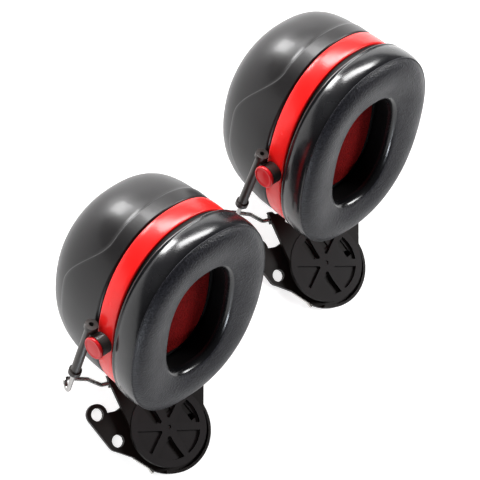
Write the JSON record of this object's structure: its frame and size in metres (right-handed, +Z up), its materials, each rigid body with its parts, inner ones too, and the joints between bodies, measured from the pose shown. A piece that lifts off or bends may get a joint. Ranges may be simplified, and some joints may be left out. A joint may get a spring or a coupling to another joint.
{
  "type": "helmet mounted ear muff pair",
  "caption": "Pair of helmet-mounted hearing protection ear cups with padded cushions on folding spring wires.",
  "frame": {"origin": "where the pivot axis of unit 1's arm meets the surface that the pair lies on", "axes": "+Z up from that surface, +X from unit 1 to unit 2, +Y parallel to the line through a helmet plate's two holes"},
  "size_m": [0.2071, 0.1376, 0.107],
  "materials": {
    "black_plastic": "satin",
    "steel": "satin",
    "dark_steel": "satin",
    "washer_plastic": "matte",
    "arm_plastic": "satin",
    "cover_plastic": "matte",
    "steel_wire": "polished",
    "sleeve_plastic": "satin",
    "shell_plastic": "satin",
    "gasket_rubber": "matte",
    "red_plastic": "gloss",
    "inner_plastic": "matte",
    "foam": "matte",
    "seal_plastic": "satin",
    "cushion_cover": "satin",
    "pin_plastic": "satin",
    "red_button": "gloss"
  },
  "bodies": {
    "base_1": {"unit1_hat_plate": "black_plastic", "unit1_latch_spring": "steel", "unit1_pivot_rivet": "dark_steel", "unit1_friction_washer": "washer_plastic"},
    "arm_1": {"unit1_arm": "arm_plastic", "unit1_hub_cover": "cover_plastic"},
    "fork_1": {"unit1_left_wire": "steel_wire", "unit1_right_wire": "steel_wire"},
    "sleeves_1": {"unit1_left_sleeve": "sleeve_plastic", "unit1_right_sleeve": "sleeve_plastic"},
    "cup_1": {"unit1_outer_shell": "shell_plastic", "unit1_gasket": "gasket_rubber", "unit1_colour_ring": "red_plastic", "unit1_inner_cup": "inner_plastic", "unit1_foam_liner": "foam", "unit1_seal_plate": "seal_plastic", "unit1_ear_cushion": "cushion_cover", "unit1_left_swivel_pin": "pin_plastic", "unit1_right_swivel_pin": "pin_plastic", "unit1_left_button": "red_button", "unit1_right_button": "red_button"},
    "base_2": {"unit2_hat_plate": "black_plastic", "unit2_latch_spring": "steel", "unit2_pivot_rivet": "dark_steel", "unit2_friction_washer": "washer_plastic"},
    "arm_2": {"unit2_arm": "arm_plastic", "unit2_hub_cover": "cover_plastic"},
    "fork_2": {"unit2_left_wire": "steel_wire", "unit2_right_wire": "steel_wire"},
    "sleeves_2": {"unit2_left_sleeve": "sleeve_plastic", "unit2_right_sleeve": "sleeve_plastic"},
    "cup_2": {"unit2_outer_shell": "shell_plastic", "unit2_gasket": "gasket_rubber", "unit2_colour_ring": "red_plastic", "unit2_inner_cup": "inner_plastic", "unit2_foam_liner": "foam", "unit2_seal_plate": "seal_plastic", "unit2_ear_cushion": "cushion_cover", "unit2_left_swivel_pin": "pin_plastic", "unit2_right_swivel_pin": "pin_plastic", "unit2_left_button": "red_button", "unit2_right_button": "red_button"}
  },
  "joints": [
    {"name": "arm_swing_1", "type": "hinge", "parent": "base_1", "child": "arm_1", "pos_m": [0, 0, 0.0045], "axis": [0, 0, 1], "range_deg": [-10, 60]},
    {"name": "wire_fold_1", "type": "hinge", "parent": "arm_1", "child": "fork_1", "pos_m": [0.01162, 0.02213, 0.0048], "axis": [0.8854, -0.4648, 0], "range_deg": [0, 35]},
    {"name": "height_slide_1", "type": "slide", "parent": "fork_1", "child": "sleeves_1", "axis": [0.2359, 0.4306, 0.8712], "range_m": [0, 0.02]},
    {"name": "cup_swivel_1", "type": "hinge", "parent": "sleeves_1", "child": "cup_1", "pos_m": [0.01916, 0.05132, 0.05262], "axis": [0.97, -0.1587, -0.1842], "range_deg": [-15, 15]},
    {"name": "pair_spacing", "type": "slide", "parent": "base_1", "child": "base_2", "axis": [1, 0, 0], "range_m": [0, 0.04]},
    {"name": "arm_swing_2", "type": "hinge", "parent": "base_2", "child": "arm_2", "pos_m": [0.112, 0.008, 0.0045], "axis": [0, 0, 1], "range_deg": [-60, 10]},
    {"name": "wire_fold_2", "type": "hinge", "parent": "arm_2", "child": "fork_2", "pos_m": [0.12362, 0.03013, 0.0048], "axis": [0.8854, -0.4648, 0], "range_deg": [0, 35]},
    {"name": "height_slide_2", "type": "slide", "parent": "fork_2", "child": "sleeves_2", "axis": [0.2359, 0.4306, 0.8712], "range_m": [0, 0.02]},
    {"name": "cup_swivel_2", "type": "hinge", "parent": "sleeves_2", "child": "cup_2", "pos_m": [0.13116, 0.05932, 0.05262], "axis": [0.97, -0.1587, -0.1842], "range_deg": [-15, 15]}
  ]
}
